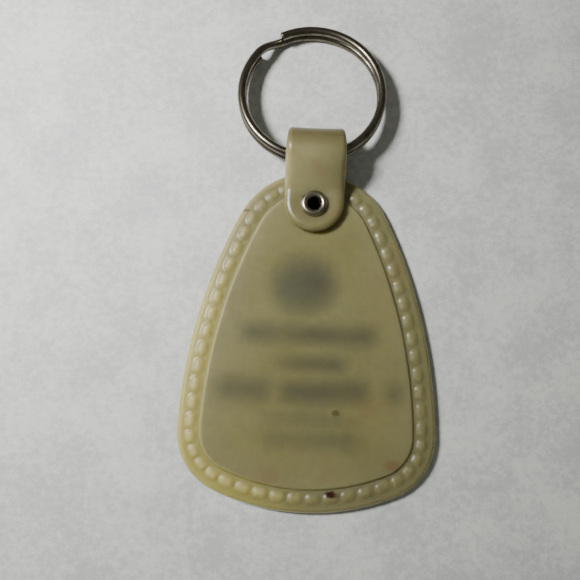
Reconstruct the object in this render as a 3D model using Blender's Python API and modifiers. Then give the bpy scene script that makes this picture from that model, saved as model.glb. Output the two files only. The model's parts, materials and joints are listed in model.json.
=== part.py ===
"""Souvenir key fob: a soft vinyl tag, the rivet that closes its strap, and a split ring.

Metres, +Z up. The fob lies on its printed side, with the tag's flat panel on Z = 0.
+Y runs from the tag's round tip to the far side of the ring, and +X to the right.
The tag is one moulding: a pear-shaped plate with a beaded border and a raised panel,
and a strap that leaves the shoulder, folds back over the ring and is riveted to the panel.
Every Y below is measured from the tag's tip until place_on_origin() moves the parts.
"""

import math

import bmesh
import bpy
from mathutils import Vector

MM = 0.001

# Plate outline: each side is four tangent arcs, from the tip round to the shoulder
TIP_RADIUS = 37.0 * MM
CORNER_RADIUS = 10.2 * MM
SIDE_RADIUS = 84.0 * MM
TIP_ARC_END = 23.0
CORNER_ARC_END = 91.0
SIDE_ARC_END = 116.0
ARC_STEP = 6.0
SIDE_ARC_STEP = 2.5

# Plate section: a raised panel on both faces, a thinner border, and a row of moulded beads
PANEL_THICKNESS = 2.3 * MM
PANEL_INSET = 4.0 * MM
PANEL_CHAMFER = 0.35 * MM
BORDER_THICKNESS = 1.3 * MM
BEAD_INSET = 2.0 * MM
BEAD_PITCH = 2.95 * MM
BEAD_LENGTH = 2.8 * MM
BEAD_WIDTH = 2.4 * MM
BEAD_HEIGHT = 2.1 * MM

# Strap: a flat tongue that leaves the shoulder, folds over the ring and lies on the panel
STRAP_THICKNESS = 1.6 * MM
STRAP_WIDTH = 9.9 * MM
FOLD_WIDTH = 9.1 * MM
FOLD_CORNER = 0.9 * MM
FOLD_END = 61.8 * MM
LOOP_GAP = 4.4 * MM
NECK_UNDERSIDE = 0.3 * MM
NECK_ROOT = 50.8 * MM
LEAF_LIFT = 0.1 * MM
LEAF_DROP_START = 58.0 * MM
LEAF_DROP_END = 51.2 * MM
STRAP_EDGE_ROUNDING = 0.25 * MM

# Tubular rivet: a low head in a shallow recess underneath, its tube rolled out on top
RIVET_FROM_TIP = 49.3 * MM
STRAP_END_FROM_RIVET = 4.5 * MM
RIVET_SHANK_RADIUS = 1.5 * MM
RIVET_BORE_RADIUS = 1.1 * MM
RIVET_ROLL_RADIUS = 2.2 * MM
RIVET_HEAD_RADIUS = 2.4 * MM
RIVET_HEAD_UNDERSIDE = 0.1 * MM
RIVET_HEAD_DOME = 0.35 * MM
RIVET_HEAD_TOP = 0.85 * MM
RIVET_BORE_FLOOR = 0.6 * MM
FIT_GAP = 0.1 * MM

# Split ring: one wire wound twice round, which steps from the upper coil to the lower one
RING_OUTER_RADIUS = 12.5 * MM
WIRE_RADIUS = 0.72 * MM
COIL_PITCH = 1.55 * MM
RING_NEAR_WIRE = 56.8 * MM
RING_NEAR_HEIGHT = 4.15 * MM
RING_SIDE_SHIFT = -1.0 * MM
HINGE_FROM_WIRE = 0.8 * MM
UPPER_END_ANGLE = 118.0
LOWER_END_ANGLE = 141.0
STEP_ARC = 17.0
STEP_START_ANGLE = 138.0
COIL_POINT_STEP = 6.0
STEP_POINT_STEP = 2.0

ROUND_STEPS = 32

# Worked out from the above
MID_HEIGHT = PANEL_THICKNESS / 2
LEAF_UNDERSIDE = PANEL_THICKNESS + LEAF_LIFT
LEAF_TOP = LEAF_UNDERSIDE + STRAP_THICKNESS
FOLD_RADIUS = (LOOP_GAP + STRAP_THICKNESS) / 2
FOLD_CENTRE_Y = FOLD_END - FOLD_RADIUS - STRAP_THICKNESS / 2
NECK_MIDDLE = NECK_UNDERSIDE + STRAP_THICKNESS / 2
COIL_RADIUS = RING_OUTER_RADIUS - WIRE_RADIUS
RING_FAR_HEIGHT = WIRE_RADIUS + COIL_PITCH / 2
RING_TILT = math.asin((RING_NEAR_HEIGHT - RING_FAR_HEIGHT) / (2 * COIL_RADIUS))
HINGE_Y = RING_NEAR_WIRE + HINGE_FROM_WIRE * math.cos(RING_TILT)
HINGE_Z = RING_NEAR_HEIGHT - HINGE_FROM_WIRE * math.sin(RING_TILT)
RING_END = (
    RING_NEAR_WIRE
    + 2 * COIL_RADIUS * math.cos(RING_TILT)
    + COIL_PITCH / 2 * math.sin(RING_TILT)
    + WIRE_RADIUS
)


def clear_scene():
    for old in list(bpy.data.objects):
        bpy.data.objects.remove(old, do_unlink=True)


def new_collection(name):
    collection = bpy.data.collections.new(name)
    bpy.context.scene.collection.children.link(collection)
    return collection


def new_material(name, colour, roughness, metallic):
    material = bpy.data.materials.new(name)
    material.use_nodes = True
    shader = material.node_tree.nodes["Principled BSDF"]
    shader.inputs["Base Color"].default_value = (*colour, 1.0)
    shader.inputs["Roughness"].default_value = roughness
    shader.inputs["Metallic"].default_value = metallic
    return material


def add_object(name, data, collection, helper=False):
    made = bpy.data.objects.new(name, data)
    collection.objects.link(made)
    if helper:
        made.hide_render = True
        made.display_type = "WIRE"
    return made


def curve_to_mesh(curve_object, collection):
    """Swap a curve object for a closed mesh object with the same name and place."""
    name = curve_object.name
    matrix = curve_object.matrix_world.copy()
    hidden = curve_object.hide_render
    graph = bpy.context.evaluated_depsgraph_get()
    mesh = bpy.data.meshes.new_from_object(curve_object.evaluated_get(graph))
    bpy.data.objects.remove(curve_object, do_unlink=True)
    shape = bmesh.new()
    shape.from_mesh(mesh)
    bmesh.ops.remove_doubles(shape, verts=shape.verts, dist=0.001 * MM)
    bmesh.ops.recalc_face_normals(shape, faces=shape.faces)
    shape.to_mesh(mesh)
    shape.free()
    made = add_object(name, mesh, collection, hidden)
    made.matrix_world = matrix
    return made


def flat_shape(name, outline, thickness, collection, rounding=0.0, rounding_steps=0):
    """A flat closed outline in XY, given its thickness about Z = 0, with rounded edges."""
    curve = bpy.data.curves.new(name, "CURVE")
    curve.dimensions = "2D"
    curve.fill_mode = "BOTH"
    curve.extrude = thickness / 2 - rounding
    curve.bevel_depth = rounding
    curve.bevel_resolution = rounding_steps
    spline = curve.splines.new("POLY")
    spline.points.add(len(outline) - 1)
    for point, (x, y) in zip(spline.points, outline):
        point.co = (x, y, 0.0, 1.0)
    spline.use_cyclic_u = True
    return curve_to_mesh(add_object(name, curve, collection, True), collection)


def arc(centre, radius, start, end, step):
    """Points from start to end, in degrees, at most step degrees apart, without the last."""
    count = max(1, math.ceil(abs(end - start) / step))
    angles = [math.radians(start + (end - start) * i / count) for i in range(count)]
    return [centre + radius * Vector((math.cos(a), math.sin(a))) for a in angles]


def plate_outline(inset):
    """The plate's outline moved inwards by inset: right side from the tip up, then the left."""
    here = Vector((0.0, inset))
    heading = 0.0
    side = []
    runs = (
        (TIP_RADIUS, TIP_ARC_END, ARC_STEP),
        (CORNER_RADIUS, CORNER_ARC_END, ARC_STEP),
        (SIDE_RADIUS, SIDE_ARC_END, SIDE_ARC_STEP),
        (None, 180.0, ARC_STEP),
    )
    for radius, end, step in runs:
        turned = math.radians(heading)
        # The shoulder's radius is the one that meets the centre line square on
        radius = here.x / math.sin(turned) if radius is None else radius - inset
        centre = here + radius * Vector((-math.sin(turned), math.cos(turned)))
        side += arc(centre, radius, heading - 90, end - 90, step)
        here = centre + radius * Vector((math.sin(math.radians(end)), -math.cos(math.radians(end))))
        heading = end
    side.append(Vector((0.0, here.y)))
    left = [Vector((-point.x, point.y)) for point in reversed(side[1:-1])]
    return side + left


def along_outline(outline, pitch):
    """Places about pitch apart on a closed outline, as (point, direction in radians)."""
    ends = outline[1:] + outline[:1]
    lengths = [(b - a).length for a, b in zip(outline, ends)]
    total = sum(lengths)
    count = round(total / pitch)
    places = []
    for i in range(count):
        left = total * (i + 0.5) / count
        for a, b, length in zip(outline, ends, lengths):
            if left <= length:
                places.append((a.lerp(b, left / length), math.atan2(b.y - a.y, b.x - a.x)))
                break
            left -= length
    return places


def make_beads(collection):
    """The moulded beads of both faces, as one mesh of egg shapes through the border."""
    shape = bmesh.new()
    for place, direction in along_outline(plate_outline(BEAD_INSET), BEAD_PITCH):
        made = bmesh.ops.create_uvsphere(shape, u_segments=8, v_segments=6, radius=0.5)
        for vert in made["verts"]:
            along = vert.co.x * BEAD_LENGTH
            across = vert.co.y * BEAD_WIDTH
            vert.co = Vector((
                place.x + along * math.cos(direction) - across * math.sin(direction),
                place.y + along * math.sin(direction) + across * math.cos(direction),
                MID_HEIGHT + vert.co.z * BEAD_HEIGHT,
            ))
    mesh = bpy.data.meshes.new("bead_row")
    shape.to_mesh(mesh)
    shape.free()
    return add_object("bead_row", mesh, collection, True)


def strap_centreline():
    """The strap's middle line in (Y, Z), from its root in the plate to its free end."""
    fold_z = NECK_MIDDLE + FOLD_RADIUS
    top_z = fold_z + FOLD_RADIUS
    leaf_z = LEAF_UNDERSIDE + STRAP_THICKNESS / 2
    line = [Vector((NECK_ROOT, NECK_MIDDLE))]
    line += arc(Vector((FOLD_CENTRE_Y, fold_z)), FOLD_RADIUS, -90, 90, 9)
    drops = 12
    for i in range(drops + 1):
        share = i / drops
        fall = (1 - math.cos(math.pi * share)) / 2
        y = LEAF_DROP_START + (LEAF_DROP_END - LEAF_DROP_START) * share
        line.append(Vector((y, top_z + (leaf_z - top_z) * fall)))
    line.append(Vector((RIVET_FROM_TIP - 2 * STRAP_END_FROM_RIVET, leaf_z)))
    return line


def strap_side_view():
    """The strap seen from +X, as a closed outline in (Y, Z)."""
    line = strap_centreline()
    outer = []
    inner = []
    for i, point in enumerate(line):
        before = line[max(i - 1, 0)]
        after = line[min(i + 1, len(line) - 1)]
        way = (after - before).normalized()
        side = Vector((way.y, -way.x)) * STRAP_THICKNESS / 2
        outer.append(point + side)
        inner.append(point - side)
    return outer + inner[::-1]


def strap_plan():
    """The strap seen from above: a round end, straight sides, and a slightly narrower fold."""
    half = STRAP_WIDTH / 2
    end_centre = Vector((0.0, RIVET_FROM_TIP - STRAP_END_FROM_RIVET + half))
    side = arc(end_centre, half, -90, 0, 7.5)
    side.append(Vector((half, LEAF_DROP_END)))
    corner = Vector((FOLD_WIDTH / 2 - FOLD_CORNER, FOLD_END - FOLD_CORNER))
    side += arc(corner, FOLD_CORNER, 0, 90, 15)
    side.append(corner + Vector((0.0, FOLD_CORNER)))
    return side + [Vector((-point.x, point.y)) for point in reversed(side[1:])]


def add_boolean(target, other, operation):
    boolean = target.modifiers.new(other.name, "BOOLEAN")
    boolean.operation = operation
    boolean.solver = "EXACT"
    boolean.object = other


def make_strap(collection):
    """The side view stretched across the strap's width, trimmed to its shape from above."""
    strap = flat_shape("strap", strap_side_view(), 1.5 * STRAP_WIDTH, collection)
    # The side view was drawn in XY: turn its X to +Y and its Y to +Z
    strap.rotation_euler = (math.pi / 2, 0.0, math.pi / 2)
    plan_height = 4 * FOLD_RADIUS
    plan = flat_shape("strap_plan", strap_plan(), plan_height, collection)
    plan.location.z = plan_height / 2 - STRAP_THICKNESS
    add_boolean(strap, plan, "INTERSECT")
    rounding = strap.modifiers.new("edge_rounding", "BEVEL")
    rounding.width = STRAP_EDGE_ROUNDING
    rounding.segments = 2
    rounding.limit_method = "ANGLE"
    rounding.angle_limit = math.radians(50)
    return strap


def round_cutter(name, radius, low, high, collection):
    shape = bmesh.new()
    bmesh.ops.create_cone(
        shape,
        cap_ends=True,
        segments=ROUND_STEPS,
        radius1=radius,
        radius2=radius,
        depth=high - low,
    )
    mesh = bpy.data.meshes.new(name)
    shape.to_mesh(mesh)
    shape.free()
    cutter = add_object(name, mesh, collection, True)
    cutter.location = (0.0, RIVET_FROM_TIP, (low + high) / 2)
    return cutter


def make_tag(parts, helpers, material):
    border = flat_shape(
        "vinyl_tag",
        plate_outline(BORDER_THICKNESS / 2),
        BORDER_THICKNESS,
        helpers,
        rounding=BORDER_THICKNESS / 2 * 0.999,
        rounding_steps=2,
    )
    panel = flat_shape(
        "raised_panel",
        plate_outline(PANEL_INSET + PANEL_CHAMFER),
        PANEL_THICKNESS,
        helpers,
        rounding=PANEL_CHAMFER,
    )
    border.location.z = MID_HEIGHT
    panel.location.z = MID_HEIGHT
    helpers.objects.unlink(border)
    parts.objects.link(border)
    border.hide_render = False
    border.display_type = "TEXTURED"
    add_boolean(border, panel, "UNION")
    add_boolean(border, make_beads(helpers), "UNION")
    add_boolean(border, make_strap(helpers), "UNION")
    shank_radius = RIVET_SHANK_RADIUS + FIT_GAP
    hole = round_cutter("rivet_hole", shank_radius, -MM, LEAF_TOP + MM, helpers)
    add_boolean(border, hole, "DIFFERENCE")
    recess_radius = RIVET_HEAD_RADIUS + FIT_GAP
    recess_top = RIVET_HEAD_TOP + FIT_GAP
    recess = round_cutter("head_recess", recess_radius, -MM, recess_top, helpers)
    add_boolean(border, recess, "DIFFERENCE")
    border.data.materials.append(material)
    return border


def rivet_profile():
    """Half section from the bore's floor up, over the roll, down the outside to the head."""
    roll_middle = (RIVET_BORE_RADIUS + RIVET_ROLL_RADIUS) / 2
    roll_radius = (RIVET_ROLL_RADIUS - RIVET_BORE_RADIUS) / 2
    roll_base = LEAF_TOP + FIT_GAP
    profile = [Vector((0.0, RIVET_BORE_FLOOR)), Vector((RIVET_BORE_RADIUS, RIVET_BORE_FLOOR))]
    profile += arc(Vector((roll_middle, roll_base)), roll_radius, 180, 0, 22.5)
    profile.append(Vector((RIVET_ROLL_RADIUS, roll_base)))
    profile.append(Vector((RIVET_SHANK_RADIUS, roll_base)))
    profile.append(Vector((RIVET_SHANK_RADIUS, RIVET_HEAD_TOP)))
    profile.append(Vector((RIVET_HEAD_RADIUS, RIVET_HEAD_TOP)))
    dome_steps = 5
    for i in range(dome_steps + 1):
        angle = math.pi / 2 * i / dome_steps
        drop = RIVET_HEAD_DOME * math.sin(angle)
        height = RIVET_HEAD_UNDERSIDE + RIVET_HEAD_DOME - drop
        profile.append(Vector((RIVET_HEAD_RADIUS * math.cos(angle), height)))
    profile[-1].x = 0.0
    return profile


def make_rivet(collection, material):
    profile = rivet_profile()
    mesh = bpy.data.meshes.new("rivet")
    points = [(point.x, 0.0, point.y) for point in profile]
    edges = [(i, i + 1) for i in range(len(points) - 1)]
    mesh.from_pydata(points, edges, [])
    rivet = add_object("rivet", mesh, collection)
    rivet.location.y = RIVET_FROM_TIP
    screw = rivet.modifiers.new("turned", "SCREW")
    screw.axis = "Z"
    screw.steps = ROUND_STEPS
    screw.render_steps = ROUND_STEPS
    screw.use_merge_vertices = True
    screw.merge_threshold = 0.005 * MM
    screw.use_smooth_shade = True
    rivet.data.materials.append(material)
    return rivet


def wire_point(turned):
    """The wire's centre after it has turned this many degrees clockwise from the upper end."""
    angle = UPPER_END_ANGLE - turned
    step_starts = UPPER_END_ANGLE - (STEP_START_ANGLE - 360)
    share = min(max((turned - step_starts) / STEP_ARC, 0.0), 1.0)
    share = share * share * (3 - 2 * share)
    return Vector((
        COIL_RADIUS * math.cos(math.radians(angle)),
        COIL_RADIUS * math.sin(math.radians(angle)),
        COIL_PITCH * (0.5 - share),
    ))


def make_ring(collection, material):
    """The wound wire, its origin on the hinge line across the strap's loop."""
    total = UPPER_END_ANGLE - (LOWER_END_ANGLE - 720)
    step_starts = UPPER_END_ANGLE - (STEP_START_ANGLE - 360)
    turned = 0.0
    path = []
    while turned < total - STEP_POINT_STEP / 2:
        path.append(wire_point(turned))
        on_step = step_starts - COIL_POINT_STEP < turned < step_starts + STEP_ARC
        turned += STEP_POINT_STEP if on_step else COIL_POINT_STEP
    path.append(wire_point(total))
    centre = Vector((RING_SIDE_SHIFT, COIL_RADIUS - HINGE_FROM_WIRE, 0.0))
    curve = bpy.data.curves.new("split_ring", "CURVE")
    curve.dimensions = "3D"
    curve.bevel_depth = WIRE_RADIUS
    curve.bevel_resolution = 2
    curve.use_fill_caps = True
    spline = curve.splines.new("POLY")
    spline.points.add(len(path) - 1)
    for point, place in zip(spline.points, path):
        point.co = (*(place + centre), 1.0)
    ring = curve_to_mesh(add_object("split_ring", curve, collection), collection)
    ring.location = (0.0, HINGE_Y, HINGE_Z)
    ring.rotation_euler = (-RING_TILT, 0.0, 0.0)
    ring.data.materials.append(material)
    ring.data.shade_smooth()
    return ring


def place_on_origin():
    """Put the origin under the middle of the whole object."""
    for thing in bpy.data.objects:
        thing.location.y -= RING_END / 2


def main():
    clear_scene()
    parts = new_collection("keychain")
    helpers = new_collection("keychain_cutters")
    vinyl = new_material("aged_vinyl", (0.30, 0.27, 0.15), 0.42, 0.0)
    nickel = new_material("nickel_plate", (0.56, 0.52, 0.46), 0.24, 1.0)
    make_tag(parts, helpers, vinyl)
    make_rivet(parts, nickel)
    make_ring(parts, nickel)
    place_on_origin()


main()
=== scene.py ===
# %% [markdown]
# # A souvenir key fob
#
# The object is a soft vinyl tag on a split ring, the kind handed out as an advertisement.
# It has three pieces: one vinyl moulding, one tubular rivet and one ring of spring wire.
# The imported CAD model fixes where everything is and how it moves. This file makes the looks:
# smooth surfaces with their moulded detail, and finishes that show the fob's age.

import json
import math

import bmesh
import bpy
import numpy as np
from mathutils import Matrix, Vector, noise
from mathutils.kdtree import KDTree


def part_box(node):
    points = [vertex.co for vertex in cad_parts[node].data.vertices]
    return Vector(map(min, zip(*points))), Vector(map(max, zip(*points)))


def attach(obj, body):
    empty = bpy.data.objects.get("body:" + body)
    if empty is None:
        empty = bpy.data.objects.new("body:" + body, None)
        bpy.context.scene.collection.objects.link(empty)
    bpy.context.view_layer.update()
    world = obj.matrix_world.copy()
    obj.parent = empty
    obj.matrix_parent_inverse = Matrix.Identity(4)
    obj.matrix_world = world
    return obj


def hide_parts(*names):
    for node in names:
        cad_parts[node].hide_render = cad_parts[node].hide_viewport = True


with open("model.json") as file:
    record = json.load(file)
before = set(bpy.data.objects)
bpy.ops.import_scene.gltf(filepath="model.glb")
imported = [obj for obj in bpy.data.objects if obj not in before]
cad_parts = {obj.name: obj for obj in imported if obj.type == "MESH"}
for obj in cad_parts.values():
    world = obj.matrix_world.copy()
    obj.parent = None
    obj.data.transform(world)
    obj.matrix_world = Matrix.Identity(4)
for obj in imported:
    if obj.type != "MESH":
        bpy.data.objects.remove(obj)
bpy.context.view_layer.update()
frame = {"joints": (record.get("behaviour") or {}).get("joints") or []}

# %% [markdown]
# ## Places taken from the CAD
#
# The tag's tip, the fold of its strap, the rivet's middle and the hinge line all come from the
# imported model, so a new piece lands exactly on the solid that it stands for. The few sizes that
# a box can't tell, such as how thick the strap is, are named here in millimetres. The leaf is
# the end of the strap, which lies on the panel under the rivet.

# %% Places and sizes
MM = 0.001
tag_low, tag_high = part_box("vinyl_tag")
rivet_low, rivet_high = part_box("rivet")
hinge = Vector(frame["joints"][0]["pos_m"])

TIP_Y = tag_low.y
FOLD_Y = tag_high.y
FOLD_TOP = tag_high.z
RIVET_Y = (rivet_low.y + rivet_high.y) / 2
PANEL_THICKNESS = 2.3 * MM
MID_HEIGHT = PANEL_THICKNESS / 2
STRAP_THICKNESS = 1.6 * MM
LEAF_GAP = 0.1 * MM
LEAF_TOP = PANEL_THICKNESS + LEAF_GAP + STRAP_THICKNESS
print("strap fold at", round(FOLD_Y / MM, 2), "mm, rivet at", round(RIVET_Y / MM, 2), "mm")

# %% [markdown]
# ## Shader sums that read like Python
#
# A node tree is easier to follow as a formula. `Wire` holds one output socket, and adding or
# multiplying two of them adds the Math node that does it. Its `node` method makes any other
# node: the settings go in first, because some of them change which sockets the node has.

# %% The Wire class
class Wire:
    """One output of a shader tree, which can be used in sums such as 1 - mask * 0.5."""

    def __init__(self, tree, socket=None):
        self.tree = tree
        self.socket = socket

    def node(self, kind, settings=None, sockets=None, out=0):
        """Adds a node, sets it up, fills or links its sockets, and returns one output."""
        made = self.tree.nodes.new("ShaderNode" + kind)
        for name, value in (settings or {}).items():
            setattr(made, name, value)
        for name, value in (sockets or {}).items():
            if isinstance(value, Wire):
                self.tree.links.new(value.socket, made.inputs[name])
            else:
                made.inputs[name].default_value = value
        return Wire(self.tree, made.outputs[out]) if made.outputs else None

    def sum(self, operation, *values):
        return self.node("Math", {"operation": operation}, dict(enumerate(values)))

    def __add__(self, other):
        return self.sum("ADD", self, other)

    __radd__ = __add__

    def __mul__(self, other):
        return self.sum("MULTIPLY", self, other)

    __rmul__ = __mul__

    def __sub__(self, other):
        return self.sum("SUBTRACT", self, other)

    def __rsub__(self, other):
        return self.sum("SUBTRACT", other, self)

    def __truediv__(self, other):
        return self.sum("DIVIDE", self, other)

    def __pow__(self, other):
        return self.sum("POWER", self, other)

    def __abs__(self):
        return self.sum("ABSOLUTE", self)

    def most(self, other):
        return self.sum("MAXIMUM", self, other)

    def rise(self, low, high):
        """0 below low, 1 above high, and a smooth slope between; low > high makes it fall."""
        settings = {"interpolation_type": "SMOOTHSTEP"}
        return self.node("MapRange", settings, {"Value": self, "From Min": low, "From Max": high})


print("Wire adds a node for each sum")

# %% [markdown]
# ## Starting and finishing a material
#
# Every finish here is one Principled shader. Colour, roughness and bump vary over the surface
# and arrive through links. What is the same all over, such as how deep light goes into the
# vinyl, is set straight on the shader. Most random patterns here are written as three numbers:
# how many patches there are to a millimetre, how much detail they have, and how rough it is.

# %% Material helpers
def start_material(name):
    """A new material and a Wire into its empty tree."""
    material = bpy.data.materials.new(name)
    material.use_nodes = True
    material.node_tree.nodes.clear()
    return material, Wire(material.node_tree)


def finish_material(wire, colour, roughness, relief, relief_depth, **fixed):
    """One Principled shader with its varying inputs linked and its fixed ones set."""
    bump = {"Height": relief, "Distance": relief_depth, "Strength": 1.0}
    normal = wire.node("Bump", {}, bump)
    sockets = {"Base Color": colour, "Roughness": roughness, "Normal": normal}
    for name, value in fixed.items():
        sockets[name.replace("_", " ").title().replace("Ior", "IOR")] = value
    shader = wire.node("BsdfPrincipled", {}, sockets)
    wire.node("OutputMaterial", {}, {"Surface": shader})


def blend_colour(mask, under, over):
    """The colour under where mask is 0, and the colour over where it is 1."""
    settings = {"data_type": "RGBA"}
    colours = [c if isinstance(c, Wire) else (*c, 1.0) for c in (under, over)]
    return mask.node("Mix", settings, {0: mask, 6: colours[0], 7: colours[1]}, out=2)


def grain(wire, place, scale, detail, roughness=0.5):
    """Soft random patches from 0 to 1; scale is how many there are to a unit of place."""
    sockets = {"Vector": place, "Scale": scale, "Detail": detail, "Roughness": roughness}
    return wire.node("TexNoise", {}, sockets)


def place_in_mm(wire):
    """The point's place on its own piece, in millimetres."""
    place = wire.node("TexCoord", {}, {}, out="Object")
    return wire.node("VectorMath", {"operation": "SCALE"}, {0: place, "Scale": 1 / MM})


def stored(wire, name):
    """A number that the mesh carries at each point."""
    return wire.node("Attribute", {"attribute_name": name}, {}, out="Fac")


print("ready to make materials with 1 unit =", MM, "m in their patterns")

# %% [markdown]
# ## The tag's outline
#
# Each side of the plate is four arcs that meet without a corner: a wide one round the tip, a
# tight one at the corner, a nearly straight side, and the shoulder that carries the strap.
# Arcs have a useful habit: moved inwards by the same amount they still fit each other. So a
# place on the border is two numbers, how far round and how deep in, and every moulded ring on
# the plate follows from the outline.

# %% The outline as a function of distance
TIP_RADIUS = 37.0 * MM
CORNER_RADIUS = 10.2 * MM
SIDE_RADIUS = 84.0 * MM
HEADINGS = [math.radians(degrees) for degrees in (0, 23, 91, 116, 180)]
OUTLINE_POINTS = 760


def outline_arcs():
    """The right side's arcs as (centre, radius, heading in, heading out), from the tip up."""
    here = Vector((0.0, TIP_Y))
    radii = (TIP_RADIUS, CORNER_RADIUS, SIDE_RADIUS, None)
    arcs = []
    for radius, start, end in zip(radii, HEADINGS, HEADINGS[1:]):
        if radius is None:
            # The shoulder's radius is the one that ends on the middle line
            radius = here.x / math.sin(start)
        centre = here + radius * Vector((-math.sin(start), math.cos(start)))
        arcs.append((centre, radius, start, end))
        here = centre + radius * Vector((math.sin(end), -math.cos(end)))
    return arcs


def outline_stations(count):
    """Evenly spaced stations round the plate: points, directions inwards, and the spacing."""
    arcs = outline_arcs()
    lengths = [radius * (end - start) for _, radius, start, end in arcs]
    half = count // 2
    points = []
    inwards = []
    for i in range(half + 1):
        left = sum(lengths) * i / half
        number = 0
        while number < len(arcs) - 1 and left > lengths[number]:
            left -= lengths[number]
            number += 1
        centre, radius, start, _ = arcs[number]
        heading = start + left / radius
        out = Vector((math.sin(heading), -math.cos(heading)))
        points.append(centre + radius * out)
        inwards.append(-out)
    points[0].x = points[-1].x = 0.0
    mirror = Vector((-1, 1))
    points += [p * mirror for p in points[-2:0:-1]]
    inwards += [n * mirror for n in inwards[-2:0:-1]]
    return np.array(points), np.array(inwards), 2 * sum(lengths) / count


stations, inward, station_gap = outline_stations(OUTLINE_POINTS)
print(len(stations), "stations,", round(station_gap / MM, 3), "mm apart")

# %% [markdown]
# ## The border's section
#
# Cut across, the border starts at a thin lip where the two halves of the mould met. Behind it
# the edge rounds up to a band that climbs gently inwards. A row of oblong beads stands on the
# band, in the manner of saddle stitching, and then a short slope rises to the panel. All of it
# is one list of (depth, height) pairs, with a formula for each stretch.

# %% Heights across the border
LIP_WIDTH = 0.16
LIP_HEIGHT = 0.08
LIP_STEP = 0.03
LIP_CURVE = [(0.0, 0.0), (0.03, 0.07), (0.10, LIP_HEIGHT), (LIP_WIDTH, LIP_HEIGHT)]
BAND_START = 0.7
BAND_LOW = 0.58
BAND_HIGH = 0.66
BAND_CROWN = 0.035
PANEL_FOOT = 3.5
PANEL_EDGE = 4.0
PANEL_HEIGHT = MID_HEIGHT / MM
BEAD_DEPTH = 2.2
BEAD_WIDTH = 2.0
BEAD_LENGTH = 2.88
BEAD_RISE = 0.28
BEAD_PITCH = 2.95
SHOULDER_STEPS = 8
BAND_STEPS = 28
SLOPE_STEPS = 8


def band_height(depth):
    """Height of the band, without beads, over the plate's middle."""
    share = (depth - BAND_START) / (PANEL_FOOT - BAND_START)
    return BAND_LOW + (BAND_HIGH - BAND_LOW) * share + BAND_CROWN * math.sin(math.pi * share)


def border_section():
    """The section without beads, as (depth in from the outline, height over the middle), in mm."""
    section = list(LIP_CURVE)
    foot = LIP_HEIGHT + LIP_STEP
    for i in range(SHOULDER_STEPS):
        turn = math.pi / 2 * i / SHOULDER_STEPS
        depth = BAND_START - (BAND_START - LIP_WIDTH - LIP_STEP) * math.cos(turn)
        section.append((depth, foot + (BAND_LOW - foot) * math.sin(turn)))
    for i in range(BAND_STEPS + 1):
        depth = BAND_START + (PANEL_FOOT - BAND_START) * i / BAND_STEPS
        section.append((depth, band_height(depth)))
    for i in range(1, SLOPE_STEPS + 1):
        share = i / SLOPE_STEPS
        climb = math.sin(math.pi / 2 * share)
        section.append((
            PANEL_FOOT + (PANEL_EDGE - PANEL_FOOT) * share,
            BAND_HIGH + (PANEL_HEIGHT - BAND_HIGH) * climb,
        ))
    return np.array(section)


section = border_section()
print("border section:", len(section), "points")

# %% [markdown]
# ## The beads
#
# A bead is a soft hump round a short line. Its height depends only on the distance from that
# line, and it meets the band without an edge, so the lamp glints on the flank that faces it.
# The pitch is stretched a little to make the count a whole number: the last bead meets the
# first one without a seam.

# %% One bead
BEAD_SOFTNESS = 1.5


def bead_shape(round_mm, depth):
    """How much of a bead stands here: 1 on its crown, 0 off it."""
    from_middle = np.abs((round_mm / bead_gap) % 1.0 - 0.5) * bead_gap
    past_line = np.clip(from_middle - (BEAD_LENGTH - BEAD_WIDTH) / 2, 0, None)
    away = np.hypot(past_line, depth - BEAD_DEPTH) / (BEAD_WIDTH / 2)
    return np.clip(1 - away**2, 0, 1) ** BEAD_SOFTNESS


outline_mm = OUTLINE_POINTS * station_gap / MM
bead_gap = outline_mm / round(outline_mm / BEAD_PITCH)
print(round(outline_mm / bead_gap), "beads to a face,", round(bead_gap, 2), "mm apart")

# %% [markdown]
# ## Skins from rows of points
#
# Every piece here is a skin: rows of points that go round it, joined by four-sided faces. One
# helper makes the faces and another makes the object. The helper also stores numbers at the
# points, such as how far in from the outline each one is, and the materials read them later.

# %% Skin building helpers
WELD_DISTANCE = 0.0005 * MM


def wrap_faces(rows, columns, first, flip):
    """Quads between neighbouring rows of a grid whose columns close on themselves."""
    faces = []
    for row in range(rows - 1):
        low = first[row]
        high = first[row + 1]
        for column in range(columns):
            after = (column + 1) % columns
            face = (low + column, low + after, high + after, high + column)
            faces.append(face[::-1] if flip else face)
    return faces


def make_piece(name, points, faces, numbers=None):
    """A mesh object from points and faces, welded and shaded smooth, with numbers at its points."""
    mesh = bpy.data.meshes.new(name)
    mesh.from_pydata([tuple(p) for p in points], [], faces)
    for label, values in (numbers or {}).items():
        layer = mesh.attributes.new(label, "FLOAT", "POINT")
        layer.data.foreach_set("value", np.asarray(values, np.float32))
    shape = bmesh.new()
    shape.from_mesh(mesh)
    bmesh.ops.remove_doubles(shape, verts=shape.verts, dist=WELD_DISTANCE)
    bmesh.ops.dissolve_degenerate(shape, edges=shape.edges, dist=WELD_DISTANCE)
    shape.to_mesh(mesh)
    shape.free()
    mesh.shade_smooth()
    piece = bpy.data.objects.new(name, mesh)
    bpy.context.scene.collection.objects.link(piece)
    return piece


print("points closer than", WELD_DISTANCE / MM, "mm become one")

# %% [markdown]
# ## The plate as one closed skin
#
# The border is a grid: stations round the outline, steps across the section. Inside it the
# panel closes on a short line down its middle, like a purse. Soft vinyl never cools quite
# flat, so the panel gets a slow swell of a few hundredths of a millimetre, which is what bends
# the reflections on it.

# %% One face of the plate
PANEL_RINGS = 14
PANEL_CROWDING = 1.3
PANEL_SWELL = 0.05
SWELL_SIZE = 9.0
SWELL_GROWTH = 3
SPINE_FROM_TIP = 15.0 * MM
SPINE_LENGTH = 27.0 * MM
PANEL_DEPTH = 10.0


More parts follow.
